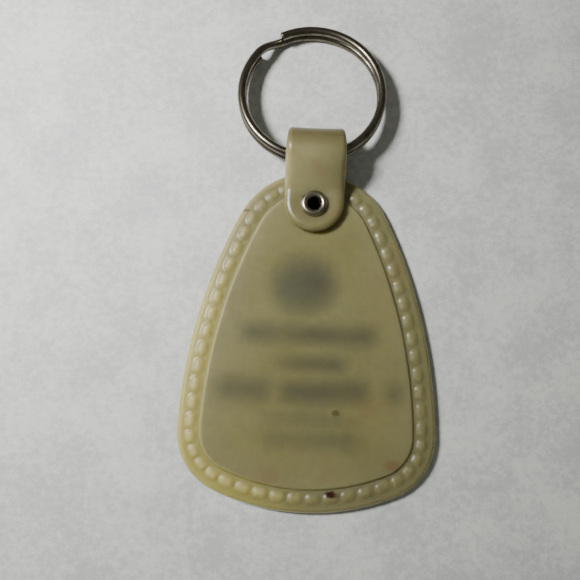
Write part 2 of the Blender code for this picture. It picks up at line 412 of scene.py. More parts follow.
def swell(x, y):
    """A slow unevenness of the cooled vinyl, from -1 to 1."""
    return noise.noise(Vector((x, y, 0.0)) / (SWELL_SIZE * MM))


def plate_face():
    """Points of the upper face from the rim inwards, as rows, with depth and bead at each."""
    round_mm = np.arange(OUTLINE_POINTS) * station_gap / MM
    rows = []
    depths = []
    beads = []
    for depth, height in section:
        bead = bead_shape(round_mm, depth)
        flat = stations + inward * depth * MM
        rows.append(np.column_stack([flat, (height + BEAD_RISE * bead) * MM]))
        depths.append(np.full(OUTLINE_POINTS, depth))
        beads.append(bead)
    panel_edge = stations + inward * PANEL_EDGE * MM
    spine_low = TIP_Y + SPINE_FROM_TIP
    spine = np.zeros_like(panel_edge)
    spine[:, 1] = np.clip(panel_edge[:, 1], spine_low, spine_low + SPINE_LENGTH)
    for ring in range(1, PANEL_RINGS + 1):
        share = ring / PANEL_RINGS
        flat = panel_edge + (spine - panel_edge) * share**PANEL_CROWDING
        lift = [PANEL_SWELL * swell(x, y) * min(1.0, SWELL_GROWTH * share) for x, y in flat]
        rows.append(np.column_stack([flat, (PANEL_HEIGHT + np.array(lift)) * MM]))
        depths.append(np.full(OUTLINE_POINTS, PANEL_EDGE + PANEL_DEPTH * share))
        beads.append(0 * round_mm)
    return rows, np.array(depths), np.array(beads)


rows, depths, beads = plate_face()
print("one face:", len(rows), "rows of", OUTLINE_POINTS, "points")

# %% [markdown]
# ## The plate's two faces
#
# The lower face is the upper one turned over, and the two share the row of points at the rim.
# Each point stores how deep in it is, how much of a bead stands there, and how far it is from
# the strap's edge. On the plate that last number is larger than any on the strap.

# %% Both faces of the plate
OFF_STRAP = 9.0


def make_plate(rows, depths, beads):
    """The closed plate, from the rows of its upper face and the numbers that they carry."""
    upper = np.concatenate(rows)
    lower = np.concatenate(rows[1:])
    lower[:, 2] *= -1
    # The printed face rests on its panel, so its swell goes only upwards
    lower[:, 2] = np.maximum(lower[:, 2], -MID_HEIGHT)
    points = np.concatenate([upper, lower])
    points[:, 2] += MID_HEIGHT
    columns = OUTLINE_POINTS
    upper_rows = [row * columns for row in range(len(rows))]
    lower_rows = [0] + [(len(rows) + row) * columns for row in range(len(rows) - 1)]
    faces = wrap_faces(len(rows), columns, upper_rows, False)
    faces += wrap_faces(len(rows), columns, lower_rows, True)
    numbers = {
        "depth": np.concatenate([depths.ravel(), depths[1:].ravel()]),
        "bead": np.concatenate([beads.ravel(), beads[1:].ravel()]),
        "edge": np.full(len(points), OFF_STRAP),
    }
    return make_piece("tag", points, faces, numbers)


tag = make_plate(rows, depths, beads)
print("plate:", len(tag.data.vertices), "points")

# %% [markdown]
# ## The strap
#
# The strap is moulded flat with the plate, as a tongue with round edges and a round end. Only
# later is it bent over the ring. The same happens here: the tongue is drawn flat, as
# distance along and distance across, and each point is then carried onto a bent middle line.
# This cell makes that line: straight out of the plate, half a circle round the ring, a soft
# fall, and flat along the panel.

# %% The strap's bent middle line
FOLD_RADIUS = 3.0 * MM
ROOT_Y = TIP_Y + 50.8 * MM
DROP_START = TIP_Y + 58.0 * MM
DROP_END = TIP_Y + 51.2 * MM
STRAP_END = RIVET_Y - 4.5 * MM
ROOT_STEPS = 40
FOLD_STEPS = 96
DROP_STEPS = 80
LEAF_STEPS = 49
LEAF_STEP = 0.25 * MM


def strap_line():
    """Close points down the middle of the bent strap, in (Y, Z), from its root to past its end."""
    reach = STRAP_THICKNESS / 2 + FOLD_RADIUS
    fold = Vector((FOLD_Y - reach, FOLD_TOP - reach))
    low = fold.y - FOLD_RADIUS
    top = fold.y + FOLD_RADIUS
    leaf = LEAF_TOP - STRAP_THICKNESS / 2
    line = [(ROOT_Y + (fold.x - ROOT_Y) * i / ROOT_STEPS, low) for i in range(ROOT_STEPS)]
    for i in range(FOLD_STEPS):
        turn = math.pi * (i / FOLD_STEPS - 0.5)
        line.append((fold.x + FOLD_RADIUS * math.cos(turn), fold.y + FOLD_RADIUS * math.sin(turn)))
    for i in range(DROP_STEPS + 1):
        share = i / DROP_STEPS
        fall = (1 - math.cos(math.pi * share)) / 2
        line.append((DROP_START + (DROP_END - DROP_START) * share, top + (leaf - top) * fall))
    line += [(DROP_END - i * LEAF_STEP, leaf) for i in range(1, LEAF_STEPS + 1)]
    return np.array(line)


middle = strap_line()
run = np.concatenate([[0], np.cumsum(np.linalg.norm(np.diff(middle, axis=0), axis=1))])
way = np.gradient(middle, run, axis=0)
way /= np.linalg.norm(way, axis=1)[:, None]
fold_run = (run[ROOT_STEPS] + run[ROOT_STEPS + FOLD_STEPS]) / 2
end_run = run[-1] - (STRAP_END - middle[-1, 0])
print("strap length along its middle:", round(end_run / MM, 1), "mm")

# %% [markdown]
# ## The flat tongue
#
# Seen from above, the tongue is two long sides and half a circle. Its edge is round in section,
# as vinyl leaves a mould. Where it will go round the ring it is stretched, so there it is
# narrower and its edges are tighter.

# %% The flat tongue
STRAP_HALF = 4.95 * MM
FOLD_HALF = 4.6 * MM
NARROWING_REACH = 4.2 * MM
EDGE_STEPS = 8
MIDDLE_STEPS = 7
END_STATIONS = 60
STRAP_STATION = 0.2 * MM
EDGE_REACH = 1.15 * MM
FOLD_EDGE_REACH = 0.6 * MM


def near_fold(along, reach):
    """1 at the fold, falling to 0 over about this distance along the strap."""
    return math.exp(-(((along - fold_run) / reach) ** 2))


def strap_sides(along):
    """Half the strap's width, and how far its round edge reaches in, at one place along it."""
    folded = near_fold(along, NARROWING_REACH)
    half = STRAP_HALF + (FOLD_HALF - STRAP_HALF) * folded
    return half, EDGE_REACH + (FOLD_EDGE_REACH - EDGE_REACH) * folded


def tongue_stations():
    """Round the flat tongue from its root: (point, inwards, distance to middle, edge reach)."""
    centre_run = end_run - STRAP_HALF
    count = round(centre_run / STRAP_STATION)
    side = [(i * centre_run / count) for i in range(count)]
    found = []
    for along in side:
        half, reach = strap_sides(along)
        found.append((Vector((half, along)), Vector((-1, 0)), half, reach))
    for i in range(END_STATIONS + 1):
        turn = math.pi * i / END_STATIONS
        out = Vector((math.cos(turn), math.sin(turn)))
        found.append((Vector((0, centre_run)) + STRAP_HALF * out, -out, STRAP_HALF, EDGE_REACH))
    for along in reversed(side):
        half, reach = strap_sides(along)
        found.append((Vector((-half, along)), Vector((1, 0)), half, reach))
    return found


def edge_level(level, half, reach):
    """(inset, half thickness) at one step from the edge, round at first, to the middle."""
    thick = STRAP_THICKNESS / 2
    if level <= EDGE_STEPS:
        turn = math.pi / 2 * level / EDGE_STEPS
        return reach * (1 - math.cos(turn)), thick * math.sin(turn)
    return reach + (half - reach) * (level - EDGE_STEPS) / MIDDLE_STEPS, thick


tongue = tongue_stations()
print("tongue:", len(tongue), "stations round its edge")

# %% [markdown]
# ## Bending and pressing
#
# Bending squeezes the inside and stretches the outside, so the edges of the fold curl a little
# outwards, like the edges of a bent eraser. Away from the fold the outer face is slightly
# crowned, and round the rivet it is drawn in to a shallow dish.

# %% Bending and pressing
CURL = 0.16 * MM
CURL_REACH = 3.4 * MM
CROWN = 0.14 * MM
DIMPLE = 0.22 * MM
DIMPLE_START = 2.1 * MM
DIMPLE_END = 3.9 * MM


def smooth(share):
    """Eases from 0 to 1 as share does, and stays there beyond."""
    share = min(max(share, 0.0), 1.0)
    return share * share * (3 - 2 * share)


def bend(across, along, height):
    """Carries a point of the flat tongue onto the bent strap."""
    here = np.array([np.interp(along, run, middle[:, i]) for i in (0, 1)])
    ahead = np.array([np.interp(along, run, way[:, i]) for i in (0, 1)])
    ahead /= np.linalg.norm(ahead)
    folded = near_fold(along, CURL_REACH)
    from_middle = (across / STRAP_HALF) ** 2
    height += CURL * folded * from_middle
    if height > 0:
        height += CROWN * (1 - folded) * (1 - from_middle)
    here = here + np.array([ahead[1], -ahead[0]]) * height
    return (across, here[0], here[1])


def press_in(across, along):
    """How far the rivet has pulled the strap's outer face in at this point."""
    from_rivet = math.hypot(across, along - (end_run - (RIVET_Y - STRAP_END)))
    return DIMPLE * smooth((DIMPLE_END - from_rivet) / (DIMPLE_END - DIMPLE_START))


print("dish round the rivet:", round(DIMPLE / MM, 2), "mm deep")

# %% [markdown]
# ## The strap's skin
#
# Every step in from the edge gives one row of points on the outer face and one on the inner
# face. The depth stored on the strap is larger than any on the plate, so that a material can
# tell the two apart.

# %% The bent strap
STRAP_DEPTH = 15.0


def make_strap():
    """Both faces of the strap, which share the row of points at its edge."""
    columns = len(tongue)
    levels = 1 + EDGE_STEPS + MIDDLE_STEPS
    outer = []
    inner = []
    insets = []
    for level in range(levels):
        for point, inwards, half, reach in tongue:
            inset, height = edge_level(level, half, reach)
            across, along = point + inwards * inset
            pressed = press_in(across, along) * height / (STRAP_THICKNESS / 2)
            outer.append(bend(across, along, height - pressed))
            inner.append(bend(across, along, -height))
            insets.append(inset / MM)
    points = outer + inner[columns:]
    outer_rows = [level * columns for level in range(levels)]
    inner_rows = [0] + [(levels + level) * columns for level in range(levels - 1)]
    # The outer face looks down at the root, so its faces turn the other way round
    faces = wrap_faces(levels, columns, outer_rows, True)
    faces += wrap_faces(levels, columns, inner_rows, False)
    numbers = {
        "depth": np.full(len(points), STRAP_DEPTH),
        "bead": np.zeros(len(points)),
        "edge": np.array(insets + insets[columns:]),
    }
    return make_piece("strap", points, faces, numbers)


strap = make_strap()
print("strap:", len(strap.data.vertices), "points")

# %% [markdown]
# ## Drills
#
# The rivet needs a hole through strap and panel, and its head sits in a shallow recess
# underneath. A Boolean cuts each with a closed cylinder, which is longer than the wall it cuts.

# %% The drills
HOLE_RADIUS = 1.6 * MM
RECESS_RADIUS = 2.5 * MM
RECESS_TOP = 0.95 * MM
DRILL_SIDES = 64
DRILL_OVERRUN = 1.0 * MM


def make_drill(radius, low, high):
    """A closed cylinder on the rivet's axis."""
    turns = [2 * math.pi * i / DRILL_SIDES for i in range(DRILL_SIDES)]
    ring = [(radius * math.cos(t), RIVET_Y + radius * math.sin(t)) for t in turns]
    points = [(*p, low) for p in ring] + [(*p, high) for p in ring]
    faces = wrap_faces(2, DRILL_SIDES, [0, DRILL_SIDES], False)
    faces.append(tuple(range(DRILL_SIDES))[::-1])
    faces.append(tuple(range(DRILL_SIDES, 2 * DRILL_SIDES)))
    return make_piece("drill", points, faces)


hole = make_drill(HOLE_RADIUS, -DRILL_OVERRUN, LEAF_TOP + DRILL_OVERRUN)
recess = make_drill(RECESS_RADIUS, -DRILL_OVERRUN, RECESS_TOP)
print("hole", round(2 * HOLE_RADIUS / MM, 1), "mm wide, recess", round(2 * RECESS_RADIUS / MM, 1))

# %% [markdown]
# ## Numbers for new points
#
# A Boolean gives the mesh new points, which carry none of the numbers stored above. Each point
# of the result therefore looks up its nearest neighbour on the two skins.

# %% Looking up stored numbers
NUMBERS = ("depth", "bead", "edge")


def numbers_at(pieces, points):
    """For each point, the numbers stored at the nearest point of any of the pieces."""
    tree = KDTree(sum(len(p.data.vertices) for p in pieces))
    known = {label: [] for label in NUMBERS}
    for piece in pieces:
        for vertex in piece.data.vertices:
            tree.insert(vertex.co, len(known[NUMBERS[0]]) + vertex.index)
        for label in NUMBERS:
            known[label] += [item.value for item in piece.data.attributes[label].data]
    tree.balance()
    nearest = [tree.find(p)[1] for p in points]
    return {label: np.array(known[label])[nearest] for label in NUMBERS}


def store_numbers(piece, found):
    """Writes the numbers to the piece's points, in place of any that it has."""
    for label, values in found.items():
        layer = piece.data.attributes.get(label)
        if layer is not None:
            piece.data.attributes.remove(layer)
        layer = piece.data.attributes.new(label, "FLOAT", "POINT")
        layer.data.foreach_set("value", values.astype(np.float32))


print("numbers at each point:", ", ".join(NUMBERS))

# %% [markdown]
# ## One moulding
#
# Plate and strap come out of one mould, so a Boolean joins them before the drills go in. Edges
# sharper than the set angle stay crisp, and all others are shaded smooth.

# %% Join and drill
SHARP_ANGLE = math.radians(38)


def cut(piece, other, operation):
    """Adds one Boolean step to a piece."""
    step = piece.modifiers.new(operation.lower(), "BOOLEAN")
    step.operation = operation
    step.solver = "EXACT"
    step.object = other


def settle(piece):
    """Turns the modifiers' result into the piece's own mesh."""
    bpy.context.view_layer.update()
    graph = bpy.context.evaluated_depsgraph_get()
    mesh = bpy.data.meshes.new_from_object(piece.evaluated_get(graph))
    piece.modifiers.clear()
    piece.data = mesh


moulding = tag.copy()
moulding.data = tag.data.copy()
bpy.context.scene.collection.objects.link(moulding)
cut(moulding, strap, "UNION")
cut(moulding, hole, "DIFFERENCE")
cut(moulding, recess, "DIFFERENCE")
settle(moulding)
moulding.name = "tag_moulding"
store_numbers(moulding, numbers_at([tag, strap], [v.co for v in moulding.data.vertices]))
moulding.data.shade_smooth()
moulding.data.set_sharp_from_angle(angle=SHARP_ANGLE)
for helper in (tag, strap, hole, recess):
    bpy.data.objects.remove(helper)
print("moulding:", len(moulding.data.vertices), "points", len(moulding.data.polygons), "faces")

# %% [markdown]
# ## The tubular rivet
#
# The rivet is a short nickel-plated tube with a low head underneath. A punch spreads the tube's
# open end and rolls it back over the strap, which leaves a bright doughnut with a dark bore.
# It is one outline spun round the rivet's axis.

# %% The rivet
RIVET_SIDES = 96
HEAD_RADIUS = 2.28
HEAD_LOW = 0.1
HEAD_BULGE = 0.3
HEAD_CURVE = 2.5
HEAD_STEPS = 8
RIM_MIDDLE = (2.24, 0.62)
RIM_RADIUS = 0.16
RIM_SWEEP = (-50, 60, 6)
TUBE_RADIUS = 1.5
TUBE_WALL = [(1.9, 0.84), (TUBE_RADIUS, 0.85), (TUBE_RADIUS, 3.82)]
ROLL_MIDDLE = (1.62, 4.07)
ROLL_RADIUS = 0.57
ROLL_SWEEP = (-100, 188, 26)
BORE_WALL = [(1.04, 3.7), (1.04, 2.4), (1.02, 0.75), (0.9, 0.62), (0.0, 0.58)]
METAL_SHARP_ANGLE = math.radians(50)


def arc_points(centre, radius, start, end, steps):
    """Points of a circular arc in (distance from axis, height), angles in degrees."""
    turns = [math.radians(start + (end - start) * i / steps) for i in range(steps + 1)]
    return [(centre[0] + radius * math.cos(t), centre[1] + radius * math.sin(t)) for t in turns]


def rivet_outline():
    """Half the rivet's section in mm, from the middle of its head to the floor of its bore."""
    shares = [i / HEAD_STEPS for i in range(HEAD_STEPS + 1)]
    head = [(HEAD_RADIUS * share, HEAD_LOW + HEAD_BULGE * share**HEAD_CURVE) for share in shares]
    rim = arc_points(RIM_MIDDLE, RIM_RADIUS, *RIM_SWEEP)
    roll = arc_points(ROLL_MIDDLE, ROLL_RADIUS, *ROLL_SWEEP)
    return head + rim + TUBE_WALL + roll + BORE_WALL


def spin(name, outline):
    """Turns a section in mm once round the rivet's axis. Its ends stand on the axis."""
    points = []
    for radius, height in outline:
        for i in range(RIVET_SIDES):
            turn = 2 * math.pi * i / RIVET_SIDES
            points.append((
                radius * math.cos(turn) * MM,
                RIVET_Y + radius * math.sin(turn) * MM,
                height * MM,
            ))
    rows = [i * RIVET_SIDES for i in range(len(outline))]
    return make_piece(name, points, wrap_faces(len(outline), RIVET_SIDES, rows, False))


rivet = spin("rolled_rivet", rivet_outline())
rivet.data.set_sharp_from_angle(angle=METAL_SHARP_ANGLE)
print("rivet:", len(rivet.data.vertices), "points")

# %% [markdown]
# ## The split ring
#
# One spring wire goes almost twice round. The first turn lies on the second, and near the two
# cut ends the wire steps down from one layer to the other. Its middle line is a formula of how
# far it has turned. The ring leans on the strap, so its whole path is tilted about the hinge.

# %% The wire's path
WIRE_RADIUS = 0.72 * MM
COIL_RADIUS = 11.78 * MM
COIL_PITCH = 1.55 * MM
RING_NEAR_HEIGHT = 4.15 * MM
RING_FAR_HEIGHT = WIRE_RADIUS + COIL_PITCH / 2
HINGE_FROM_WIRE = 0.8 * MM
RING_SIDE_SHIFT = -1.0 * MM
UPPER_END = 118.0
STEP_START = 336.5
STEP_ARC = 24.0
WIRE_TURN = 697.0

tilt = math.asin((RING_NEAR_HEIGHT - RING_FAR_HEIGHT) / (2 * COIL_RADIUS))
ring_place = Matrix.Translation(hinge) @ Matrix.Rotation(-tilt, 4, "X")
ring_place @= Matrix.Translation((RING_SIDE_SHIFT, COIL_RADIUS - HINGE_FROM_WIRE, 0))


def wire_point(turned):
    """The wire's middle after it has turned this many degrees from its upper end."""
    share = smooth((turned - STEP_START) / STEP_ARC)
    angle = math.radians(UPPER_END - turned)
    height = COIL_PITCH * (0.5 - share)
    return Vector((COIL_RADIUS * math.cos(angle), COIL_RADIUS * math.sin(angle), height))


print("ring tilted", round(math.degrees(tilt), 2), "degrees")

# %% [markdown]
# ## A skin round the wire
#
# A circle of points stands square to the wire at each step along it. The cut ends are rounded
# off by a few smaller circles close together. Drawing the wire through a die left fine lines
# along it, so each point also stores where it is along the wire and round it.

# %% The wound wire
TURN_STEP = 1.5
NUDGE = 0.2
WIRE_SIDES = 24
END_ROUND = 0.16 * MM
END_STEPS = 4


def wire_sections():
    """(distance turned, section radius) along the wire, with its two ends rounded off."""
    degree = math.radians(1) * COIL_RADIUS
    ends = []
    for i in range(END_STEPS + 1):
        lean = math.pi / 2 * i / END_STEPS
        radius = WIRE_RADIUS - END_ROUND * (1 - math.sin(lean))
        ends.append((END_ROUND * (1 - math.cos(lean)) / degree, radius))
    count = round(WIRE_TURN / TURN_STEP)
    body = [(WIRE_TURN * i / count, WIRE_RADIUS) for i in range(1, count)]
    last = [(WIRE_TURN - turned, radius) for turned, radius in reversed(ends)]
    return ends + body + last


def make_ring():
    """The wire's skin, with its ends closed and its place along the wire stored."""
    points = []
    places = []
    sections = wire_sections()
    for turned, radius in sections:
        centre = wire_point(turned)
        forward = (wire_point(turned + NUDGE) - wire_point(turned - NUDGE)).normalized()
        out = Vector((centre.x, centre.y, 0)).normalized()
        up = out.cross(forward)
        for i in range(WIRE_SIDES):
            turn = 2 * math.pi * i / WIRE_SIDES
            side = out * math.cos(turn) + up * math.sin(turn)
            points.append(ring_place @ (centre + side * radius))
            along = math.radians(turned) * COIL_RADIUS / MM
            places.append((along, math.cos(turn), math.sin(turn)))
    rows = [i * WIRE_SIDES for i in range(len(sections))]
    faces = wrap_faces(len(rows), WIRE_SIDES, rows, False)
    faces.append(tuple(range(WIRE_SIDES))[::-1])
    faces.append(tuple(range(rows[-1], rows[-1] + WIRE_SIDES)))
    piece = make_piece("wound_ring", points, faces)
    layer = piece.data.attributes.new("wire_place", "FLOAT_VECTOR", "POINT")
    layer.data.foreach_set("vector", np.array(places, np.float32).ravel())
    return piece


ring = make_ring()
ring.data.set_sharp_from_angle(angle=METAL_SHARP_ANGLE)
print("ring:", len(ring.data.vertices), "points")

# %% [markdown]
# ## Painting aged vinyl
#
# The plastic was once clear cream and has gone olive. It is thickest and darkest in the panel.
# The left and top of the thin border are painted lighter: painted light for light that comes
# through from the lit table. The print is on the underside. From above it shows only as grey
# smudges with soft edges, so the same layout is painted twice: crisp below, blurred above.
# These helpers say where a colour goes.

# %% Painting helpers
def split_place(place):
    """The three coordinates of a place as three wires."""
    parts = place.node("SeparateXYZ", {}, {0: place})
    tree = parts.tree
    return [Wire(tree, parts.socket.node.outputs[i]) for i in range(3)]


def span(value, low, high, soft):
    """1 while value is between low and high, with edges that fade over soft."""
    return value.rise(low - soft, low + soft) * value.rise(high + soft, high - soft)


def patch(x, y, box, soft):
    """1 inside a box (left, right, bottom, top), fading at its edges."""
    left, right, bottom, top = box
    return span(x, left, right, soft) * span(y, bottom, top, soft)


def spot(x, y, middle, size, soft):
    """1 inside an ellipse with these half sizes; soft is the share of it that fades."""
    a = ((x - middle[0]) / size[0]) ** 2
    b = ((y - middle[1]) / size[1]) ** 2
    return (a + b).rise(1 + soft, 1 - soft)


print("masks: span, patch and spot")

# %% [markdown]
# ## Tints of the moulding
#
# Panel, border and strap have each aged in their own way, and some of their tints are painted
# light. The stored depth tells the panel from the border, and the stored edge tells the strap from
# the plate. The left and top of the border, and most of all its beads there, are painted lighter
# for light that glows through the thin vinyl. The strap is painted lighter on the left of its
# slope, for the side that the lamp lights, and it is darker towards the fold. Each pair of numbers
# below, in millimetres, is where a tint starts and where it is full.

# %% The vinyl's tints
PANEL_COLOUR = (0.235, 0.218, 0.090)
GREENER_PANEL = (0.225, 0.216, 0.096)
PANEL_RIM_COLOUR = (0.25, 0.232, 0.113)
BORDER_COLOUR = (0.225, 0.212, 0.102)
PAINTED_LIT_BORDER = (0.395, 0.358, 0.112)
PAINTED_BEAD_GLOW = (0.50, 0.45, 0.19)
STRAP_COLOUR = (0.19, 0.177, 0.083)
PAINTED_LIT_STRAP = (0.34, 0.322, 0.17)
DARKER_FOLD_STRAP = (0.14, 0.122, 0.054)
TINT_PATCHES = (0.065, 1.0)
GREENER = (0.38, 0.62)
PANEL_RIM = (9.5, 4.2)
BORDER = (4.2, 3.3)
LIT_SIDE_ACROSS = (4.0, -15.0)
LIT_SIDE_DOWN = (15.0, -17.0)
BEAD_GLOW_SHARE = 0.8
LIT_STRAP_ACROSS = (7.5, -3.0)
LIT_STRAP_SPAN = (11.6, 17.0, 2.0)
DARKER_TO_FOLD = (16.8, 20.3)
DARKER_TO_FOLD_WANDER = 0.5


def plate_tint(wire, x, y, warp):
    """The plate's colour: its panel, and round it the border with its beads, painted lighter on the
    lit left and top.
    """
    depth = stored(wire, "depth")
    tint = grain(wire, place_in_mm(wire), *TINT_PATCHES)
    inner = blend_colour(tint.rise(*GREENER), PANEL_COLOUR, GREENER_PANEL)
    panel = blend_colour((depth + warp).rise(*PANEL_RIM), inner, PANEL_RIM_COLOUR)
    # Painted light: the left and top of the border, and the beads there most, are made lighter for
    # light glowing through the thin vinyl
    painted_lit_side = (x + warp).rise(*LIT_SIDE_ACROSS) * (y + warp).rise(*LIT_SIDE_DOWN)
    rim = blend_colour(painted_lit_side, BORDER_COLOUR, PAINTED_LIT_BORDER)
    rim = blend_colour(painted_lit_side * stored(wire, "bead") * BEAD_GLOW_SHARE, rim, PAINTED_BEAD_GLOW)
    return blend_colour(depth.rise(*BORDER), panel, rim)


def strap_tint(x, y, warp):
    """The strap's colour: painted lighter along the left of its slope, for its lit side, and brown
    towards the fold where it goes over the ring.
    """
    # Painted light: the left of the strap's slope is made lighter for the side that the lamp lights
    lit_strap = span(y + warp, *LIT_STRAP_SPAN) * (x + warp).rise(*LIT_STRAP_ACROSS)
    colour = blend_colour(lit_strap, STRAP_COLOUR, PAINTED_LIT_STRAP)
    # The strap turns darker towards the fold
    darker_to_fold = (y + DARKER_TO_FOLD_WANDER * warp).rise(*DARKER_TO_FOLD)
    return blend_colour(darker_to_fold, colour, DARKER_FOLD_STRAP)


print("tints for the panel, the border and the strap")

# %% [markdown]
# ## The print
#
# A diamond over rows of bars stands in for the advertisement. Each bar is a box in millimetres
# (left, right, bottom, top) with the strength of its ink. One formula draws it with any
# softness of edge. Looking up through the clear vinyl, the ink is crisp but worn in specks.
# Looking down through its full thickness, only a soft and uneven shadow is left.

# %% The print
PRINT_BARS = (
    ((-11.1, 10.8, -13.9, -11.1), 0.85),
    ((-4.6, 5.8, -18.4, -16.0), 0.9),
    ((-14.5, -5.6, -23.5, -19.6), 0.7),
    ((-4.6, 9.8, -23.5, -19.8), 0.78),
    ((12.3, 15.0, -23.3, -19.8), 0.7),
    ((-6.8, 8.7, -26.9, -25.1), 0.5),
    ((-6.8, 8.7, -30.4, -28.0), 0.5),
)
EMBLEM_MIDDLE = (-1.2, -4.3)
EMBLEM_SIZE = (5.6, 5.0)
INK_COLOUR = (0.05, 0.055, 0.045)
BLURRED = 2.0
CRISP = 0.06
ROUNDING = 0.55
FADE_OUT = 0.4
FADE_IN = 0.6
UNDERSIDE = (1.3, 1.0)
PRINTED_FROM = (3.9, 4.4)
SHADOW_PATCHES = (0.14, 1.0)
SHADOW_LEAST = 0.42
SHADOW_MORE = 0.62
INK_GAIN = 1.6
INK_EDGE = (0.1, 0.5)
INK_WEAR = (0.36, 0.46)


def print_mask(x, y, soft):
    """Where the ink is, for edges of one softness in mm. Softness also rounds the diamond."""
    roundness = 1 + ROUNDING * soft
    across = (abs(x - EMBLEM_MIDDLE[0]) / EMBLEM_SIZE[0]) ** roundness
    down = (abs(y - EMBLEM_MIDDLE[1]) / EMBLEM_SIZE[1]) ** roundness
    ink = (across + down).rise(1 + FADE_OUT * soft, 1 - FADE_IN * soft)
    for box, strength in PRINT_BARS:
        ink = ink.most(patch(x, y, box, soft) * strength)
    return ink


def add_print(wire, colour, x, y, z, fine):
    """Crisp ink on the underside of the panel, and its shadow seen through from above."""
    below = z.rise(*UNDERSIDE)
    on_panel = stored(wire, "depth").rise(*PRINTED_FROM)
    uneven = grain(wire, place_in_mm(wire), *SHADOW_PATCHES)
    seen_through = print_mask(x, y, BLURRED) * (SHADOW_LEAST + SHADOW_MORE * uneven)
    colour = blend_colour(seen_through * (1 - below) * on_panel, colour, INK_COLOUR)
    printed = (print_mask(x, y, CRISP) * INK_GAIN).rise(*INK_EDGE)
    left = fine.rise(*INK_WEAR)
    return blend_colour(printed * below * on_panel * left, colour, INK_COLOUR)


print("print: a diamond and", len(PRINT_BARS), "bars")

# %% [markdown]
# ## Stains
#
# Years in pockets left a few brown stains, a nick in the rim, an olive fleck on the panel and
# one red-brown spot near the tip. A thin dark line by the fold is painted shade for a crease.
# Each is an ellipse: its middle, its half sizes, how much of it fades, and its strength.

# %% Stains and marks
STAINS = (
    ((13.7, -32.6), (1.3, 0.8), 0.9, 0.45),
    ((-6.1, -34.9), (2.2, 1.3), 0.9, 0.2),
)
MARKS_AND_CREASE_SHADE = (
    # Painted shade: a thin dark line for a crease by the fold
    ((2.7, 19.2), (1.6, 0.13), 0.9, 0.5),
    ((-11.25, 7.85), (0.6, 0.24), 0.6, 0.95),
    ((5.3, -37.5), (0.9, 0.45), 0.9, 0.4),
    ((4.6, -24.8), (0.62, 0.46), 0.8, 0.75),
)
SPOT_MIDDLE = (4.1, -37.45)
SPOT_SIZE = (0.9, 0.5)
SPOT_SOFT = 0.7
RAGGED_PATCHES = (1.7, 2.0)
RAGGED_ACROSS = 0.6
RAGGED_DOWN = 0.6
GRIMY = (0.58, 0.78)
GRIME_STRENGTH = 0.25
STAIN_COLOUR = (0.20, 0.10, 0.035)
MARK_AND_CREASE_SHADE_COLOUR = (0.09, 0.075, 0.034)
SPOT_COLOUR = (0.035, 0.004, 0.0)


def strongest(x, y, ellipses):
    """At each point, the strongest of several ellipses."""
    found = None
    for middle, size, soft, strength in ellipses:
        here = spot(x, y, middle, size, soft) * strength
        found = here if found is None else found.most(here)
    return found


def add_stains(wire, colour, x, y, cloud):
    """Brown stains, olive marks with the painted shade of a crease, and the slightly ragged
    red-brown spot.
    """
    stains = strongest(x, y, STAINS).most(cloud.rise(*GRIMY) * GRIME_STRENGTH)
    colour = blend_colour(stains, colour, STAIN_COLOUR)
    colour = blend_colour(strongest(x, y, MARKS_AND_CREASE_SHADE), colour, MARK_AND_CREASE_SHADE_COLOUR)
    ragged = (grain(wire, place_in_mm(wire), *RAGGED_PATCHES) - 0.5) * RAGGED_ACROSS
    blot = spot(x + ragged, y + ragged * RAGGED_DOWN, SPOT_MIDDLE, SPOT_SIZE, SPOT_SOFT)
    return blend_colour(blot, colour, SPOT_COLOUR)


print("stains and marks:", len(STAINS) + len(MARKS_AND_CREASE_SHADE) + 1)

# %% [markdown]
# ## The vinyl itself
#
# Tints, print and stains go on top of each other, and light scatters a few millimetres under
# the surface, red furthest. The beads on the right are still smooth, and those on the left are
# chafed. The rim and the foot of the panel are duller too, because the mould was rougher in its
# corners. The wandering of a tint's edge, in millimetres, comes from the same clouds as its tone.

# %% The vinyl
RELIEF_DEPTH = 0.015 * MM
SCATTER_REACH = 3.6 * MM
SCATTER_BY_COLOUR = (1.0, 0.8, 0.4)
VINYL_IOR = 1.5
CLOUD = (0.11, 3.0, 0.55)
MOTTLE = (0.9, 4.0, 0.6)
FINE = (6.0, 3.0, 0.6)
WANDER = 3
ON_STRAP = (8.9, 8.0)
PANEL_FOOT_SPAN = (3.3, 4.1, 0.15)
RIM = (1.0, 0.6)
CHAFED_ACROSS = (6.0, -8.0)
ON_BEAD = (0.0, 0.3)
ON_BAND = (4.0, 3.0)
TONE = 0.645
CLOUD_TONE = 0.48
MOTTLE_TONE = 0.28
MATT = 0.24
MATT_MOTTLE = 0.12
MATT_FINE = 0.06
MATT_CORNERS = 0.16
MATT_CHAFED = 0.2
BEAD_POLISH = 0.05
FINE_RELIEF = 0.15
BAND_RELIEF = 2


